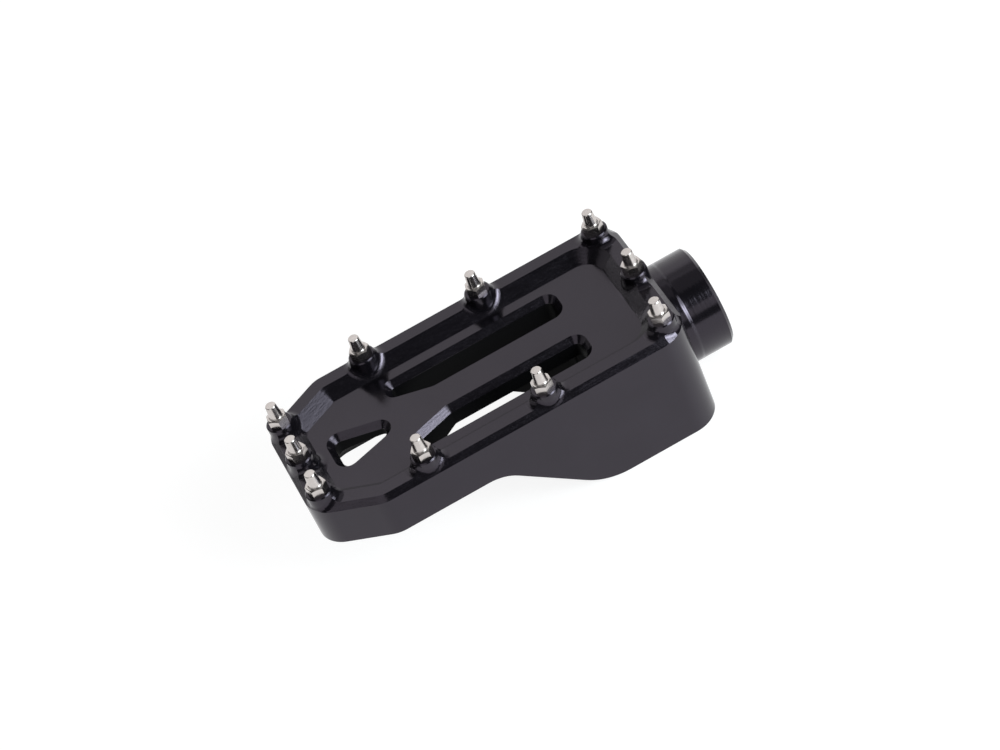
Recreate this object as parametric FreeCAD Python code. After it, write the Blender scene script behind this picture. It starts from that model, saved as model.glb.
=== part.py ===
"""Motorcycle brake pedal: one milled aluminium body and ten screwed-in traction pins.

Frame, in millimetres: X runs along the pedal, out of the mouth of the mounting barrel.
Z is up, towards the sole of the boot. The origin is the centre of the barrel's end face,
so the whole pedal lies at negative X. Minus Y is the front edge, plus Y the rear edge.
"""
import FreeCAD
import Part
import math
import os

from FreeCAD import Vector

# Plan of the body
body_length = 107.45
body_width = 53.3
toe_diagonal_start = 17.5
toe_diagonal_angle = 27.5
corner_radius = 8.5

# Heights, measured down from the flat top of the rim
rim_above_barrel_axis = 18.5
toe_depth = 13.45
heel_depth = 34.6
foot_slope_angle = 41.5
foot_slope_start = 48.0
arch_radius = 11.4
foot_radius = 18.3

# Raised rim round the recessed floor
edge_chamfer = 1.55
rim_flat_width = 3.85
recess_depth = 3.15
recess_slope_width = 3.6
recess_heel_radius = 6.0
recess_diagonal_radius = 0.5
recess_toe_radius = 1.5

# Mounting barrel on the heel end
barrel_diameter = 28.6
barrel_length = 12.7
barrel_root_radius = 1.2
barrel_end_chamfer = 0.9
bolt_hole_diameter = 10.2
bolt_hole_chamfer = 0.6
bolt_seat_thickness = 22.0

# Channel milled from below for the mounting bolt and its key
channel_radius = 9.4
channel_axis_above_barrel = 2.3
channel_toe_wall = 7.5

# Three lightening slots through the floor, outlines given at the floor's surface
slot_chamfer = 1.7
slot_corner_radius = 3.7
long_slot_inner_edge = 4.35
long_slot_outer_edge = 14.5
long_slot_from_heel_wall = 23.15
long_slot_length = 51.95
long_slot_taper_length = 11.7
long_slot_taper_angle = 18.5
long_slot_toe_radius = 2.9
toe_slot_from_toe_wall = 11.95
toe_slot_length = 17.4
toe_slot_wide_half = 8.0
toe_slot_taper_angle = 17.3

# Bosses that carry the pins
boss_diameter = 7.3
boss_height = 2.8
boss_top_chamfer = 0.3
boss_root_radius = 2.7
boss_edge_distance = 4.48
side_boss_spacing = 35.0
side_boss_from_heel_wall = 40.4
heel_boss_from_heel_wall = 5.45
heel_boss_from_side_wall = 5.75
heel_middle_boss_from_wall = 3.4

# Traction pins
hex_across_flats = 5.0
hex_height = 2.45
hex_top_chamfer = 0.3
hex_chamfer_inset = 0.15
hex_chamfer_run = 0.4
tip_base_diameter = 3.7
tip_top_diameter = 2.9
tip_height = 4.02
tip_edge_chamfer = 0.15
tip_root_radius = 0.3
shank_diameter = 4.0
shank_length = 7.2
shank_end_chamfer = 0.5
pin_hole_clearance = 0.05
pin_hole_extra_depth = 1.2

# Derived places
half_width = body_width / 2
heel_x = -barrel_length
toe_x = heel_x - body_length
rim_z = rim_above_barrel_axis
shoulder_z = rim_z - edge_chamfer
floor_z = rim_z - recess_depth
toe_bottom_z = rim_z - toe_depth
heel_bottom_z = rim_z - heel_depth
rim_inset = edge_chamfer + rim_flat_width
floor_inset = rim_inset + recess_slope_width
boss_radius = boss_diameter / 2
boss_top_z = rim_z + boss_height
barrel_radius = barrel_diameter / 2

# How far cutters reach past the surfaces that they cut
overlap = 1.0

# Straight facets that stand in for a rounded corner where a boss blends into it
corner_facets = 4


def inset_points(points, distance):
    """Move every edge of a counter-clockwise convex polygon inwards by a distance."""
    moved = []
    for i, corner in enumerate(points):
        before = points[i - 1]
        after = points[(i + 1) % len(points)]
        a = Vector(corner[0] - before[0], corner[1] - before[1], 0).normalize()
        b = Vector(after[0] - corner[0], after[1] - corner[1], 0).normalize()
        half_turn = a.getAngle(b) / 2
        bisector = (b - a).normalize()
        step = distance / math.cos(half_turn)
        moved.append((corner[0] + bisector.x * step, corner[1] + bisector.y * step))
    return moved


def rounded_wire(points, radii, z):
    """Closed wire through a convex polygon's corners, each rounded by its own radius."""
    starts = []
    middles = []
    ends = []
    for i, corner in enumerate(points):
        here = Vector(corner[0], corner[1], z)
        before = Vector(points[i - 1][0], points[i - 1][1], z)
        following = points[(i + 1) % len(points)]
        after = Vector(following[0], following[1], z)
        back = (before - here).normalize()
        ahead = (after - here).normalize()
        half_angle = back.getAngle(ahead) / 2
        tangent_length = radii[i] / math.tan(half_angle)
        to_centre = (back + ahead).normalize()
        centre_distance = radii[i] / math.sin(half_angle)
        starts.append(here + back * tangent_length)
        middles.append(here + to_centre * (centre_distance - radii[i]))
        ends.append(here + ahead * tangent_length)
    edges = []
    for i in range(len(points)):
        edges.append(Part.Arc(starts[i], middles[i], ends[i]).toShape())
        next_start = starts[(i + 1) % len(points)]
        if ends[i].distanceToPoint(next_start) > 1e-6:
            edges.append(Part.LineSegment(ends[i], next_start).toShape())
    return Part.Wire(edges)


def flared_prism(points, inset_low, z_low, inset_high, z_high, radii_at):
    """Solid between two insets of one polygon, with straight sides between them."""
    low = rounded_wire(inset_points(points, inset_low), radii_at(inset_low), z_low)
    high = rounded_wire(inset_points(points, inset_high), radii_at(inset_high), z_high)
    return Part.makeLoft([low, high], True, True)


def straight_prism(points, inset, radii, z_low, z_high):
    """Upright solid on an inset of a polygon."""
    wire = rounded_wire(inset_points(points, inset), radii, z_low)
    return Part.Face(wire).extrude(Vector(0, 0, z_high - z_low))


def body_outline():
    """Corners of the body's plan, counter-clockwise from the rear corner of the heel end."""
    diagonal_x = toe_x + toe_diagonal_start
    slope = math.tan(math.radians(toe_diagonal_angle))
    toe_half_width = half_width - toe_diagonal_start * slope
    return [
        (heel_x, half_width),
        (diagonal_x, half_width),
        (toe_x, toe_half_width),
        (toe_x, -toe_half_width),
        (diagonal_x, -half_width),
        (heel_x, -half_width),
    ]


def outer_radii(inset):
    """Corner radii of the outer wall, in the order of the outline's corners."""
    return [corner_radius - inset] * 6


def recess_radii(inset):
    """Corner radii of the recess, which grow from the floor up to the rim."""
    growth = floor_inset - inset
    heel = recess_heel_radius + growth
    diagonal = recess_diagonal_radius + growth
    toe = recess_toe_radius + growth
    return [heel, diagonal, toe, toe, diagonal, heel]


def outer_block():
    """Chamfered prism of the full depth, before the toe is made thin."""
    outline = body_outline()
    block = straight_prism(outline, 0, outer_radii(0), heel_bottom_z, shoulder_z)
    crown = flared_prism(outline, 0, shoulder_z, edge_chamfer, rim_z, outer_radii)
    return block.fuse(crown)


def toe_relief():
    """Solid under the thin toe, with the arch and foot radii of the underside."""
    angle = math.radians(foot_slope_angle)
    slope_top_x = toe_x + foot_slope_start
    slope_foot_x = slope_top_x + (toe_bottom_z - heel_bottom_z) / math.tan(angle)
    arch_tangent = arch_radius * math.tan(angle / 2)
    foot_tangent = foot_radius * math.tan(angle / 2)
    along = Vector(math.cos(angle), 0, -math.sin(angle))
    slope_top = Vector(slope_top_x, 0, toe_bottom_z)
    slope_foot = Vector(slope_foot_x, 0, heel_bottom_z)
    arch_start = slope_top - Vector(arch_tangent, 0, 0)
    arch_end = slope_top + along * arch_tangent
    foot_start = slope_foot - along * foot_tangent
    foot_end = slope_foot + Vector(foot_tangent, 0, 0)
    half_sine = math.sin(angle / 2)
    half_drop = 1 - math.cos(angle / 2)
    arch_middle = arch_start + Vector(arch_radius * half_sine, 0, -arch_radius * half_drop)
    foot_middle = foot_end + Vector(-foot_radius * half_sine, 0, foot_radius * half_drop)
    low_z = heel_bottom_z - overlap
    far_x = toe_x - overlap
    corners = [
        foot_end,
        Vector(foot_end.x, 0, low_z),
        Vector(far_x, 0, low_z),
        Vector(far_x, 0, toe_bottom_z),
        arch_start,
    ]
    edges = [
        Part.Arc(arch_start, arch_middle, arch_end).toShape(),
        Part.LineSegment(arch_end, foot_start).toShape(),
        Part.Arc(foot_start, foot_middle, foot_end).toShape(),
    ]
    for i in range(len(corners) - 1):
        edges.append(Part.LineSegment(corners[i], corners[i + 1]).toShape())
    face = Part.Face(Part.Wire(edges))
    face.translate(Vector(0, -half_width - overlap, 0))
    return face.extrude(Vector(0, body_width + 2 * overlap, 0))


def recess():
    """Shallow tray in the top, with sloping walls inside the rim."""
    top_inset = rim_inset - overlap * recess_slope_width / recess_depth
    return flared_prism(body_outline(), floor_inset, floor_z, top_inset, rim_z + overlap, recess_radii)


def slot_cutter(points, radii):
    """Upright cutter for one slot: straight walls with a chamfer at the floor."""

    def radii_at(inset):
        return [radius - inset for radius in radii]

    chamfer_z = floor_z - slot_chamfer
    low_z = heel_bottom_z - overlap
    walls = straight_prism(points, slot_chamfer, radii_at(slot_chamfer), low_z, chamfer_z)
    flare = flared_prism(points, slot_chamfer, chamfer_z, -overlap, floor_z + overlap, radii_at)
    return walls.fuse(flare)


def long_slot():
    """Cutter for the rear long slot, whose toe end tapers away from the centre line."""
    right = heel_x - long_slot_from_heel_wall
    left = right - long_slot_length
    taper_end = left + long_slot_taper_length
    taper_rise = long_slot_taper_length * math.tan(math.radians(long_slot_taper_angle))
    points = [
        (right, long_slot_inner_edge),
        (right, long_slot_outer_edge),
        (left, long_slot_outer_edge),
        (left, long_slot_inner_edge + taper_rise),
        (taper_end, long_slot_inner_edge),
    ]
    toe_end = [long_slot_toe_radius, long_slot_toe_radius]
    radii = [slot_corner_radius, slot_corner_radius] + toe_end + [slot_corner_radius]
    return slot_cutter(points, radii)


def toe_slot():
    """Cutter for the small slot at the toe, which narrows to a full round."""
    taper = math.radians(toe_slot_taper_angle)
    left = toe_x + toe_slot_from_toe_wall
    right = left + toe_slot_length
    narrow_half = toe_slot_wide_half - toe_slot_length * math.tan(taper)
    round_end_radius = narrow_half * math.tan((math.pi / 2 + taper) / 2)
    points = [
        (right, -narrow_half),
        (right, narrow_half),
        (left, toe_slot_wide_half),
        (left, -toe_slot_wide_half),
    ]
    radii = [round_end_radius, round_end_radius, slot_corner_radius, slot_corner_radius]
    return slot_cutter(points, radii)


def bolt_channel():
    """Round-topped channel in the underside, from near the toe to the bolt's seat."""
    start = Vector(toe_x + channel_toe_wall + channel_radius, 0, channel_axis_above_barrel)
    length = -bolt_seat_thickness - start.x
    drop = start.z - heel_bottom_z + overlap
    crown = Part.makeCylinder(channel_radius, length, start, Vector(1, 0, 0))
    corner = Vector(start.x, -channel_radius, start.z - drop)
    throat = Part.makeBox(length, 2 * channel_radius, drop, corner)
    end_post = Part.makeCylinder(channel_radius, drop, Vector(start.x, 0, start.z - drop))
    end_ball = Part.makeSphere(channel_radius, start)
    return crown.fuse([throat, end_post, end_ball])


def barrel():
    """Turned barrel with a root radius against the heel wall and a chamfered mouth."""
    chamfer = barrel_end_chamfer
    fillet = barrel_root_radius
    foot = Vector(heel_x, 0, barrel_radius + fillet)
    shoulder = Vector(heel_x + fillet, 0, barrel_radius)
    arc_centre = Vector(heel_x + fillet, 0, barrel_radius + fillet)
    arc_middle = arc_centre - Vector(1, 0, 1).normalize() * fillet
    inside = heel_x - overlap
    points = [
        shoulder,
        Vector(-chamfer, 0, barrel_radius),
        Vector(0, 0, barrel_radius - chamfer),
        Vector(0, 0, 0),
        Vector(inside, 0, 0),
        Vector(inside, 0, barrel_radius + fillet),
        foot,
    ]
    edges = [Part.Arc(foot, arc_middle, shoulder).toShape()]
    for i in range(len(points) - 1):
        edges.append(Part.LineSegment(points[i], points[i + 1]).toShape())
    profile = Part.Face(Part.Wire(edges))
    return profile.revolve(Vector(0, 0, 0), Vector(1, 0, 0), 360)


def bolt_hole():
    """Clearance hole for the mounting bolt, chamfered at the barrel's mouth."""
    radius = bolt_hole_diameter / 2
    along = Vector(1, 0, 0)
    start = Vector(-bolt_seat_thickness - overlap, 0, 0)
    hole = Part.makeCylinder(radius, bolt_seat_thickness + 2 * overlap, start, along)
    mouth_start = Vector(-bolt_hole_chamfer, 0, 0)
    mouth_length = bolt_hole_chamfer + overlap
    mouth = Part.makeCone(radius, radius + mouth_length, mouth_length, mouth_start, along)
    return hole.fuse(mouth)


def filleted_column(point, normal):
    """Boss column standing on a flat surface of any tilt, with its root radius.

    The boss axis is the Z axis, and the point and the normal give the surface.
    """
    reach = 6 * boss_radius
    slab = Part.makeBox(2 * reach, 2 * reach, reach, Vector(-reach, -reach, -reach))
    slab.Placement = FreeCAD.Placement(point, FreeCAD.Rotation(Vector(0, 0, 1), normal))
    low_z = point.z - 4 * boss_radius
    column = Part.makeCylinder(boss_radius, boss_top_z + 2 * reach - low_z, Vector(0, 0, low_z))
    joined = slab.fuse(column)
    foot = []
    for edge in joined.Edges:
        middle = edge.valueAt((edge.FirstParameter + edge.LastParameter) / 2)
        on_surface = abs((middle - point).dot(normal)) < 1e-4
        on_column = abs(math.hypot(middle.x, middle.y) - boss_radius) < 1e-4
        if on_surface and on_column:
            foot.append(edge)
    return joined.makeFillet(boss_root_radius, foot)


def direction(angle):
    """Level unit vector at an angle in degrees."""
    return Vector(math.cos(math.radians(angle)), math.sin(math.radians(angle)), 0)


def boss(walls, slopes):
    """Boss on the Z axis, blended into the rim's flat, chamfer and slope and into the floor.

    Each wall is the direction and the distance of the outer wall beside the boss.
    Each slope is the direction and the distance of the line where the recess begins.
    """
    up = Vector(0, 0, 1)
    solid = filleted_column(up * rim_z, up)
    for angle, distance in walls:
        away = direction(angle)
        solid = solid.common(filleted_column(away * distance + up * shoulder_z, (away + up).normalize()))
    for i, (angle, distance) in enumerate(slopes):
        away = direction(angle)
        tilted = up * recess_slope_width - away * recess_depth
        sloped = filleted_column(away * distance + up * rim_z, tilted.normalize())
        descent = sloped if i == 0 else descent.fuse(sloped)
    solid = solid.common(descent)
    solid = solid.fuse(filleted_column(up * floor_z, up))
    reach = boss_radius + boss_root_radius + boss_top_chamfer
    top_radius = boss_radius - boss_top_chamfer
    profile = Part.makePolygon([
        Vector(0, 0, shoulder_z - reach),
        Vector(reach, 0, shoulder_z - reach),
        Vector(reach, 0, boss_top_z - reach + top_radius),
        Vector(top_radius, 0, boss_top_z),
        Vector(0, 0, boss_top_z),
        Vector(0, 0, shoulder_z - reach),
    ])
    envelope = Part.Face(profile).revolve(Vector(0, 0, 0), up, 360)
    return solid.common(envelope)


def corner_lines(x, y, corner, inset, radius, first_angle, last_angle):
    """Directions and distances, seen from a boss, of tangents round a rounded corner."""
    centre = inset_points(body_outline(), inset + radius)[corner]
    lines = []
    for i in range(corner_facets + 1):
        angle = first_angle + (last_angle - first_angle) * i / corner_facets
        away = direction(angle)
        distance = radius + (centre[0] - x) * away.x + (centre[1] - y) * away.y
        lines.append((angle, distance))
    return lines


def corner_boss(x, y, corner, recess_radius, first_angle, last_angle):
    """Boss near a rounded corner of the body, at its place."""
    walls = corner_lines(x, y, corner, 0, corner_radius, first_angle, last_angle)
    rim_radius = recess_radius + recess_slope_width
    slopes = corner_lines(x, y, corner, rim_inset, rim_radius, first_angle, last_angle)
    solid = boss(walls, slopes)
    solid.translate(Vector(x, y, 0))
    return solid


def edge_boss(x, y, angle, distance):
    """Boss beside one straight wall of the body, at its place."""
    solid = boss([(angle, distance)], [(angle, distance - rim_inset)])
    solid.translate(Vector(x, y, 0))
    return solid


# Places of the pins, with those of the rear half given once
side_inner_x = heel_x - side_boss_from_heel_wall
side_outer_x = side_inner_x - side_boss_spacing
side_y = half_width - boss_edge_distance
toe_x_row = toe_x + boss_edge_distance
toe_corner_y = inset_points(body_outline(), boss_edge_distance)[2][1]
heel_middle_x = heel_x - heel_middle_boss_from_wall
heel_corner_x = heel_x - heel_boss_from_heel_wall
heel_corner_y = half_width - heel_boss_from_side_wall
pin_places = [
    ("pin_toe_middle", toe_x_row, 0),
    ("pin_heel_middle", heel_middle_x, 0),
    ("pin_rear_inner", side_inner_x, side_y),
    ("pin_rear_outer", side_outer_x, side_y),
    ("pin_toe_rear", toe_x_row, toe_corner_y),
    ("pin_heel_rear", heel_corner_x, heel_corner_y),
    ("pin_front_inner", side_inner_x, -side_y),
    ("pin_front_outer", side_outer_x, -side_y),
    ("pin_toe_front", toe_x_row, -toe_corner_y),
    ("pin_heel_front", heel_corner_x, -heel_corner_y),
]


def bosses():
    """All ten bosses, the front ones being mirror images of the rear ones."""
    middle = [
        edge_boss(toe_x_row, 0, 180, boss_edge_distance),
        edge_boss(heel_middle_x, 0, 0, heel_middle_boss_from_wall),
    ]
    side = edge_boss(side_inner_x, side_y, 90, boss_edge_distance)
    other_side = side.translated(Vector(-side_boss_spacing, 0, 0))
    diagonal = 90 + toe_diagonal_angle
    rear = [
        side,
        other_side,
        corner_boss(toe_x_row, toe_corner_y, 2, recess_toe_radius, diagonal, 180),
        corner_boss(heel_corner_x, heel_corner_y, 0, recess_heel_radius, 0, 90),
    ]
    front = [one.mirror(Vector(0, 0, 0), Vector(0, 1, 0)) for one in rear]
    return middle + rear + front


def pin_hole(x, y):
    """Blind tapped hole under one pin."""
    radius = shank_diameter / 2 + pin_hole_clearance
    depth = shank_length + pin_hole_extra_depth
    return Part.makeCylinder(radius, depth + overlap, Vector(x, y, boss_top_z - depth))


def pedal_body():
    """The milled body with its rim, recess, bosses, barrel, slots, channel and holes."""
    body = outer_block().cut(toe_relief())
    body = body.fuse(barrel())
    body = body.cut(recess())
    outline = body_outline()
    inside_walls = straight_prism(outline, 0, outer_radii(0), heel_bottom_z, boss_top_z + overlap)
    for one in bosses():
        body = body.fuse(one.common(inside_walls))
    rear_slot = long_slot()
    body = body.cut(rear_slot)
    body = body.cut(rear_slot.mirror(Vector(0, 0, 0), Vector(0, 1, 0)))
    body = body.cut(toe_slot())
    body = body.cut(bolt_channel())
    body = body.cut(bolt_hole())
    for name, x, y in pin_places:
        body = body.cut(pin_hole(x, y))
    return body.removeSplitter()


def hexagon(radius, z):
    """Closed hexagonal wire with its corners on a radius."""
    corners = []
    for i in range(7):
        angle = math.radians(60 * i)
        corners.append(Vector(radius * math.cos(angle), radius * math.sin(angle), z))
    return Part.makePolygon(corners)


def is_tip_root(edge, radius, z):
    """Whether an edge is the circle where the tip stands on the hexagon."""
    box = edge.BoundBox
    flat = box.ZLength < 0.001 and abs(box.ZMin - z) < 0.001
    return flat and abs(box.XMax - radius) < 0.001


def traction_pin(x, y, turn):
    """One-piece pin: threaded shank, chamfered hexagon and a blunt tapered tip."""
    seat_z = boss_top_z
    hex_top_z = seat_z + hex_height
    prism = Part.Face(hexagon(hex_across_flats / math.sqrt(3), seat_z)).extrude(Vector(0, 0, hex_height))
    tip_base = tip_base_diameter / 2
    tip_top = tip_top_diameter / 2
    edge_z = hex_top_z + tip_height - tip_edge_chamfer
    edge_radius = tip_top + (tip_base - tip_top) * tip_edge_chamfer / tip_height
    shank = shank_diameter / 2
    shank_low_z = seat_z - shank_length
    tip_and_shank = Part.makePolygon([
        Vector(0, 0, shank_low_z),
        Vector(shank - shank_end_chamfer, 0, shank_low_z),
        Vector(shank, 0, shank_low_z + shank_end_chamfer),
        Vector(shank, 0, seat_z + hex_height / 2),
        Vector(tip_base, 0, hex_top_z),
        Vector(edge_radius, 0, edge_z),
        Vector(edge_radius - tip_edge_chamfer, 0, hex_top_z + tip_height),
        Vector(0, 0, hex_top_z + tip_height),
        Vector(0, 0, shank_low_z),
    ])
    flat_radius = hex_across_flats / 2
    limit = flat_radius + hex_chamfer_run
    hex_limit = Part.makePolygon([
        Vector(0, 0, seat_z),
        Vector(limit, 0, seat_z),
        Vector(limit, 0, hex_top_z - hex_top_chamfer),
        Vector(flat_radius - hex_chamfer_inset, 0, hex_top_z),
        Vector(0, 0, hex_top_z),
        Vector(0, 0, seat_z),
    ])
    axis = Vector(0, 0, 1)
    origin = Vector(0, 0, 0)
    prism = prism.common(Part.Face(hex_limit).revolve(origin, axis, 360))
    pin = prism.fuse(Part.Face(tip_and_shank).revolve(origin, axis, 360)).removeSplitter()
    root = [edge for edge in pin.Edges if is_tip_root(edge, tip_base, hex_top_z)]
    pin = pin.makeFillet(tip_root_radius, root)
    pin.rotate(origin, axis, turn)
    pin.translate(Vector(x, y, 0))
    return pin


# How far each hexagon is turned once its pin is tight
pin_turns = {
    "pin_toe_middle": -6,
    "pin_heel_middle": -16,
    "pin_rear_inner": 17,
    "pin_rear_outer": 0,
    "pin_toe_rear": 24,
    "pin_heel_rear": -14,
    "pin_front_inner": 30,
    "pin_front_outer": -2,
    "pin_toe_front": -11,
    "pin_heel_front": 23,
}

os.makedirs("parts", exist_ok=True)
pedal_body().exportStep("parts/pedal_body.step")
for name, x, y in pin_places:
    traction_pin(x, y, pin_turns[name]).exportStep("parts/" + name + ".step")
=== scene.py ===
"""Looks of a motorcycle brake pedal: black anodised body, bright turned pins, studio light."""
import bpy
import math
from mathutils import Matrix, Vector


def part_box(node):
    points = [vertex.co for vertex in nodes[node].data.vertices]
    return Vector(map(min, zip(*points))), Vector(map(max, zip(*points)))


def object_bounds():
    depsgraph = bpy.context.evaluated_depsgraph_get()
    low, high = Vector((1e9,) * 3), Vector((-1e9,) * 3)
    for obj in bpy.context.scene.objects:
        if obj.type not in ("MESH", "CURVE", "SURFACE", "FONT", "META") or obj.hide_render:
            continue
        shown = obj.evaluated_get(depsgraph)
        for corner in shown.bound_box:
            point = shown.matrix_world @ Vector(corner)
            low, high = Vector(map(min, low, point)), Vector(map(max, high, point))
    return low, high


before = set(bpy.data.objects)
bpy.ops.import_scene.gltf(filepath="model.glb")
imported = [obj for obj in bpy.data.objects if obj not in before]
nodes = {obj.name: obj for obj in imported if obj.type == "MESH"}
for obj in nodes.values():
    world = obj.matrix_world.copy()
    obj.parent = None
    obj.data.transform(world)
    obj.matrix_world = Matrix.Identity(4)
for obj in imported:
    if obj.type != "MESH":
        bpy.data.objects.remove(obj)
cad_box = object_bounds()

# Pedal body
# One piece milled from aluminium bar, with the mounting barrel turned on its heel end.
# Tumbled, fine-blasted and dyed black in a sulphuric anodising bath.

MM = 0.001

# Where its finishes end
HEEL_WALL_X = -12.7 * MM
BARREL_ROOT = 1.2 * MM
PASS_EDGE_X = -9.4 * MM
PASS_EDGE_HALF_WIDTH = 0.55 * MM
SLOT_WALL_Z = 13.65 * MM
TOE_UNDERSIDE_Z = 5.1 * MM
SLOTS_FROM_X = -112.0 * MM
SLOTS_TO_X = -33.0 * MM
SLOTS_HALF_WIDTH = 17.0 * MM
CRISP_EDGE = 0.1 * MM
SOFT_EDGE = 0.5 * MM

# How far a surface faces up: 1 when level, 0 when upright, -1 when it hangs over
SLOPES_FROM, SLOPES_TO, SLOPES_BLEND = 0.2, 0.97, 0.15
WALLS_FROM, WALLS_TO, WALLS_BLEND = -0.6, 0.6, 0.2
ROOFS_FROM, ROOFS_TO = -0.6, -0.4

# Patterns, as repeats in a metre
GRAIN = 4000.0  # blasted grain of 0.25 mm
CLOUDS = 85.0  # the dye takes unevenly over some 12 mm
CUTS = (220.0, 220.0, 2600.0)  # level steps of 0.4 mm, 4.5 mm long, a little coarser than real
TEARS = 1800.0  # torn spots of 0.6 mm, a little coarser than real
RINGS = (1000.0, 20.0, 20.0)  # turning rings of 1 mm, coarser than real so that they show

# Depths of the patterns
GRAIN_DEPTH = 0.02 * MM
CUT_DEPTH = 0.035 * MM
RING_DEPTH = 0.045 * MM
PASS_DEPTH = 0.23 * MM

# Most of a noise lies between these two levels
CLOUD_LOW, CLOUD_HIGH = 0.3, 0.7
CUT_LOW, CUT_HIGH = 0.38, 0.62

# Roughness at those levels, and the tint that the oxide gives to what it mirrors
TUMBLED_SMOOTH, TUMBLED_ROUGH = 0.13, 0.18
MILLED_SMOOTH, MILLED_ROUGH = 0.12, 0.22
OXIDE_TINT = (0.92, 0.81, 0.985, 1.0)

DEEP_DYE, DEEP_DYE_LEVEL = "0b0a0d", 0.35
THIN_DYE, THIN_DYE_LEVEL = "100e12", 0.7
# Painted shade for the slot walls and channel roof: near black, standing in for the shadow under
# the pedal
SLOT_SHADE = "060607"


def linear(hex_colour):
    """Linear RGBA of an sRGB hex colour."""
    parts = [int(hex_colour[i:i + 2], 16) / 255 for i in (0, 2, 4)]
    flat = [p / 12.92 if p <= 0.04045 else ((p + 0.055) / 1.055) ** 2.4 for p in parts]
    return (*flat, 1.0)


def new_material(name):
    """An empty node material and its tree."""
    material = bpy.data.materials.new(name)
    material.use_nodes = True
    tree = material.node_tree
    tree.nodes.clear()
    return material, tree


def add(tree, kind, settings=None, **inputs):
    """Adds a node, sets its properties, and sets or links its inputs by name or index.

    A node given for an input is linked by its first output.
    """
    node = tree.nodes.new("ShaderNode" + kind)
    for key, value in (settings or {}).items():
        setattr(node, key, value)
    for key, value in inputs.items():
        by_index = key[0] == "i" and key[1:].isdigit()
        socket = node.inputs[int(key[1:]) if by_index else key.replace("_", " ")]
        source = value.outputs[0] if isinstance(value, bpy.types.Node) else value
        if isinstance(source, bpy.types.NodeSocket):
            tree.links.new(source, socket)
        else:
            socket.default_value = source
    return node


def within(tree, pattern, *masks):
    """A pattern or mask, kept only where all the given masks hold."""
    for mask in masks:
        pattern = add(tree, "Math", {"operation": "MULTIPLY"}, i0=pattern, i1=mask)
    return pattern


def between(tree, value, low, high, soft):
    """1 where a value lies between two limits, with a soft step inside each."""
    rise = add(tree, "MapRange", Value=value, i1=low, i2=low + soft)
    fall = add(tree, "MapRange", Value=value, i1=high - soft, i2=high, i3=1.0, i4=0.0)
    return within(tree, rise, fall)


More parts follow.
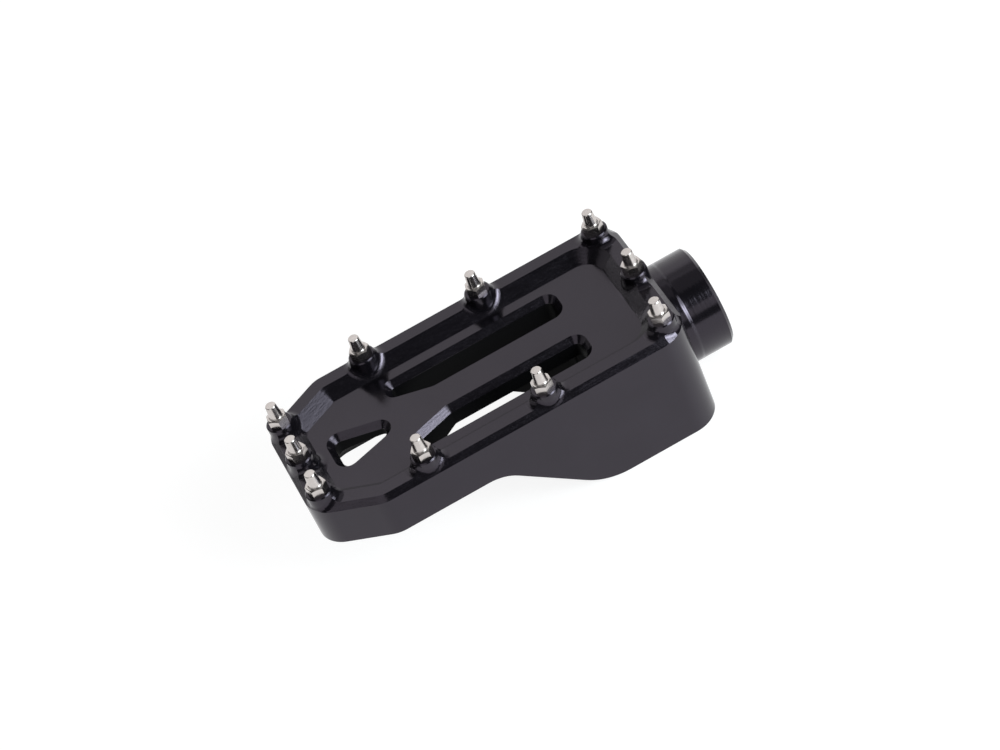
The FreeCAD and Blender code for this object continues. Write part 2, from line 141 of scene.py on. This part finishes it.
def anodised_aluminium():
    """Black anodised aluminium: a hard clear oxide full of black dye, so dark with a soft gloss."""
    material, tree = new_material("black anodised aluminium")
    surface = add(tree, "TexCoord")
    point = surface.outputs["Object"]
    x, y, z = add(tree, "SeparateXYZ", Vector=point).outputs
    tilt = add(tree, "SeparateXYZ", Vector=surface.outputs["Normal"]).outputs["Z"]

    # Blasted grain and uneven dye all over
    grain = add(tree, "TexNoise", Vector=point, Scale=GRAIN, Detail=2.0, Roughness=0.6)
    blasted = add(tree, "Bump", Height=grain, Strength=0.2, Distance=GRAIN_DEPTH)
    cloud = add(tree, "TexNoise", Vector=point, Scale=CLOUDS, Detail=3.0, Roughness=0.55)
    dye = add(tree, "ValToRGB", Fac=cloud)
    deepest, thinnest = dye.color_ramp.elements
    deepest.position, deepest.color = DEEP_DYE_LEVEL, linear(DEEP_DYE)
    thinnest.position, thinnest.color = THIN_DYE_LEVEL, linear(THIN_DYE)

    # Cutter marks on every slope and root radius above the upright walls of the slots
    on_barrel = add(tree, "MapRange", Value=x, i1=HEEL_WALL_X, i2=HEEL_WALL_X + BARREL_ROOT)
    off_barrel = add(tree, "Math", {"operation": "SUBTRACT"}, i0=1.0, i1=on_barrel)
    sloping = between(tree, tilt, SLOPES_FROM, SLOPES_TO, SLOPES_BLEND)
    high_up = add(tree, "MapRange", Value=z, i1=SLOT_WALL_Z, i2=SLOT_WALL_Z + CRISP_EDGE)
    milled = within(tree, sloping, off_barrel, high_up)
    layered = add(tree, "Mapping", Vector=point, Scale=CUTS)
    steps = add(tree, "TexNoise", Vector=layered, Scale=1.0, Detail=1.5, Roughness=0.6)
    tears = add(tree, "TexNoise", Vector=point, Scale=TEARS, Detail=2.0, Roughness=0.6)
    cut = add(tree, "Mix", {"data_type": "FLOAT"}, Factor=0.5, i2=steps, i3=tears)
    relief = add(tree, "Math", {"operation": "SUBTRACT"}, i0=cut, i1=0.5)
    marked = add(
        tree, "Bump",
        Height=within(tree, relief, milled), Strength=1.0, Distance=CUT_DEPTH, Normal=blasted,
    )

    # Turning rings round the barrel: fine ones all along, and the edge of the last deep pass
    sliced = add(tree, "Mapping", Vector=point, Scale=RINGS)
    rings = add(tree, "TexNoise", Vector=sliced, Scale=1.0, Detail=2.0, Roughness=0.6)
    turned = add(
        tree, "Bump",
        Height=within(tree, rings, on_barrel), Strength=1.0, Distance=RING_DEPTH, Normal=marked,
    )
    last_pass = add(
        tree, "MapRange", {"interpolation_type": "SMOOTHSTEP"}, Value=x,
        i1=PASS_EDGE_X - PASS_EDGE_HALF_WIDTH, i2=PASS_EDGE_X + PASS_EDGE_HALF_WIDTH,
        i3=1.0, i4=0.0,
    )
    finished = add(
        tree, "Bump",
        Height=within(tree, last_pass, on_barrel), Strength=1.0, Distance=PASS_DEPTH, Normal=turned,
    )

    # Tumbling leaves the flat faces even, and the slopes stay rougher in spots
    tumbled = add(
        tree, "MapRange", Value=cloud,
        i1=CLOUD_LOW, i2=CLOUD_HIGH, i3=TUMBLED_SMOOTH, i4=TUMBLED_ROUGH,
    )
    torn = add(
        tree, "MapRange", Value=cut,
        i1=CUT_LOW, i2=CUT_HIGH, i3=MILLED_SMOOTH, i4=MILLED_ROUGH,
    )
    rough = add(tree, "Mix", {"data_type": "FLOAT"}, Factor=milled, i2=tumbled, i3=torn)
    glossy = add(
        tree, "BsdfPrincipled",
        Base_Color=dye, Roughness=rough, Metallic=0.0, IOR=1.5, Specular_Tint=OXIDE_TINT,
        Normal=finished,
    )

    # The upright walls of the slots, left as milled, get painted shade: a near-black, barely
    # reflective finish standing in for the shadowed floor under the pedal that they mirror
    painted_slot_shade = add(
        tree, "BsdfPrincipled",
        Base_Color=linear(SLOT_SHADE), Roughness=0.5, Metallic=0.0, Specular_IOR_Level=0.04,
        Normal=blasted,
    )
    upright = between(tree, tilt, WALLS_FROM, WALLS_TO, WALLS_BLEND)
    # The roof of the channel under them gets the same painted shade, where it shows through the toe
    # slot
    hanging = add(tree, "MapRange", Value=tilt, i1=ROOFS_FROM, i2=ROOFS_TO, i3=1.0, i4=0.0)
    above_toe = add(
        tree, "MapRange", Value=z, i1=TOE_UNDERSIDE_Z, i2=TOE_UNDERSIDE_Z + CRISP_EDGE,
    )
    roof = within(tree, hanging, above_toe)
    inner = add(tree, "Math", {"operation": "ADD"}, i0=upright, i1=roof)
    deep = add(tree, "MapRange", Value=z, i1=SLOT_WALL_Z, i2=SLOT_WALL_Z - CRISP_EDGE)
    along = between(tree, x, SLOTS_FROM_X, SLOTS_TO_X, SOFT_EDGE)
    across = between(tree, y, -SLOTS_HALF_WIDTH, SLOTS_HALF_WIDTH, SOFT_EDGE)
    slot_shade_mask = within(tree, inner, deep, along, across)

    # Painted shade: the slot walls and channel roof take the near-black dull shader in place of the
    # glossy one
    both = add(tree, "MixShader", Fac=slot_shade_mask, i1=glossy, i2=painted_slot_shade)
    add(tree, "OutputMaterial", Surface=both)
    return material


body = nodes["pedal_body"]
body.data.materials[0] = anodised_aluminium()

# Traction pins
# Ten stainless set screws with a hexagon to turn them and a blunt turned point for grip.
# Turned from bar, washed bright, and screwed tight into the bosses of the rim.

PIN_RINGS = (300.0, 300.0, 6000.0)  # turning rings of 0.17 mm, as repeats in a metre
PIN_RING_DEPTH = 0.02 * MM
STEEL_IN_GROOVES = "b9b2af"
STEEL_ON_RIDGES = "d4cecb"


def pin_steel(name, centre_x, centre_y):
    """Turned stainless steel: bright metal with fine rings round the pin's own axis."""
    material, tree = new_material("turned stainless steel " + name)
    point = add(tree, "TexCoord").outputs["Object"]
    centred = add(tree, "Mapping", Vector=point, Location=(-centre_x, -centre_y, 0.0))
    sliced = add(tree, "Mapping", Vector=centred, Scale=PIN_RINGS)
    rings = add(tree, "TexNoise", Vector=sliced, Scale=1.0, Detail=2.0, Roughness=0.6)
    turned = add(tree, "Bump", Height=rings, Strength=0.25, Distance=PIN_RING_DEPTH)
    shade = add(tree, "ValToRGB", Fac=rings)
    groove, ridge = shade.color_ramp.elements
    groove.color = linear(STEEL_IN_GROOVES)
    ridge.color = linear(STEEL_ON_RIDGES)
    steel = add(
        tree, "BsdfPrincipled", Base_Color=shade, Roughness=0.24, Metallic=1.0, Normal=turned,
    )
    add(tree, "OutputMaterial", Surface=steel)
    return material


for name in sorted(nodes):
    if name.startswith("pin_"):
        low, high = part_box(name)
        centre_x, centre_y = ((low[i] + high[i]) / 2 for i in (0, 1))
        nodes[name].data.materials[0] = pin_steel(name, centre_x, centre_y)

# Table
# A sheet of white acrylic, lit from below so that shadows on it stay faint.
# The foot of the pedal's heel stands just above it.

FOOT_CLEARANCE = 0.05 * MM
TABLE_REACH = 3.0
ACRYLIC = "767676"
WHITE = "ffffff"
GLOW = 0.88


def lit_acrylic():
    """White acrylic, matt on top, which gives a pale even ground."""
    material, tree = new_material("lit white acrylic")
    sheet = add(
        tree, "BsdfPrincipled",
        Base_Color=linear(ACRYLIC), Roughness=0.6,
        Emission_Color=linear(WHITE), Emission_Strength=GLOW,
    )
    add(tree, "OutputMaterial", Surface=sheet)
    return material


table_z = cad_box[0][2] - FOOT_CLEARANCE
corners = [
    (side_x * TABLE_REACH, side_y * TABLE_REACH, table_z)
    for side_x, side_y in ((-1, -1), (1, -1), (1, 1), (-1, 1))
]
floor_mesh = bpy.data.meshes.new("floor")
floor_mesh.from_pydata(corners, [], [(0, 1, 2, 3)])
floor_mesh.materials.append(lit_acrylic())
floor = bpy.data.objects.new("floor", floor_mesh)
bpy.context.scene.collection.objects.link(floor)

# Studio lights
# A large soft window behind the pedal, which its flat faces mirror, and a smaller, brighter
# soft box on the right that gives the chamfers their bright edges. Weak lights fill the rest.

PEDAL_MIDDLE = Vector((-0.055, 0.0, 0.0))
COOL = "f0fbff"
ROOM_BRIGHTNESS = 0.04


def soft_light(name, place, size, brightness, turned_to=None, colour=WHITE):
    """A soft box at a place in metres, as bright all over as a white sheet times brightness.

    It is turned to the pedal's middle, or along the direction given.
    """
    lamp = bpy.data.lights.new(name, "AREA")
    lamp.shape = "RECTANGLE"
    lamp.size, lamp.size_y = size
    lamp.energy = brightness * math.pi * size[0] * size[1]
    lamp.color = linear(colour)[:3]
    holder = bpy.data.objects.new(name, lamp)
    bpy.context.scene.collection.objects.link(holder)
    holder.location = Vector(place)
    aim = Vector(turned_to) if turned_to else PEDAL_MIDDLE - holder.location
    holder.rotation_euler = aim.to_track_quat("-Z", "Y").to_euler()


# Name, place, width and height, brightness
soft_light("far window", (0.26, 0.9, 0.575), (2.13, 1.15), 1.0, turned_to=(0.0, -1.0, 0.0))
soft_light("upper window", (0.3, 0.72, 1.35), (1.6, 0.55), 0.48)
# The right box is a little cooler than the windows, brightest at its heart, and fades outwards
soft_light("right box", (0.572, -0.595, 0.561), (0.69, 0.67), 4.0, colour=COOL)
soft_light("right box, middle", (0.514, -0.728, 0.431), (0.434, 0.663), 6.3, colour=COOL)
soft_light("right box, heart", (0.542, -0.640, 0.505), (0.31, 0.32), 8.8, colour=COOL)
soft_light("spill beside the right box", (0.176, -0.861, 0.454), (0.25, 0.32), 0.9)
soft_light("left fill", (-0.44, -0.41, 0.566), (0.48, 0.3), 0.95)
soft_light("left window", (-0.75, 0.35, 0.25), (0.6, 0.5), 0.37)
soft_light("top", (0.0, 0.05, 0.9), (0.6, 0.6), 0.24)

room = bpy.data.worlds.new("studio")
bpy.context.scene.world = room
room.use_nodes = True
room.node_tree.nodes["Background"].inputs["Color"].default_value = linear(WHITE)
room.node_tree.nodes["Background"].inputs["Strength"].default_value = ROOM_BRIGHTNESS

# Camera
# Its place, turn and lens were solved from the photograph's pins, walls and barrel.

AZIMUTH = math.radians(-6.38)
ELEVATION = math.radians(43.43)
ROLL = math.radians(-24.77)
DISTANCE = 0.798
SIDE_SHIFT = Vector((-13.59 * MM, 2.97 * MM))
SOLVED_ORIGIN = Vector((-70.59 * MM, 0.0, 23.96 * MM))
SENSOR_WIDTH = 36.0  # in millimetres, as the lens
LENS = 111.2
NEAREST_SEEN = 0.01

outwards = math.cos(ELEVATION)
back = Vector((
    outwards * math.sin(AZIMUTH), -outwards * math.cos(AZIMUTH), math.sin(ELEVATION),
))
unrolled_right = Vector((math.cos(AZIMUTH), math.sin(AZIMUTH), 0.0))
unrolled_up = back.cross(unrolled_right)
right = unrolled_right * math.cos(ROLL) + unrolled_up * math.sin(ROLL)
up = unrolled_up * math.cos(ROLL) - unrolled_right * math.sin(ROLL)
stand = SOLVED_ORIGIN - right * SIDE_SHIFT.x - up * SIDE_SHIFT.y + back * DISTANCE
turn = Matrix((right, up, back)).transposed().to_4x4()

camera = bpy.data.objects.new("camera", bpy.data.cameras.new("camera"))
bpy.context.scene.collection.objects.link(camera)
camera.matrix_world = Matrix.Translation(stand) @ turn
camera.data.sensor_width = SENSOR_WIDTH
camera.data.lens = LENS
camera.data.clip_start = NEAREST_SEEN
bpy.context.scene.camera = camera
bpy.context.scene.view_settings.view_transform = "Standard"
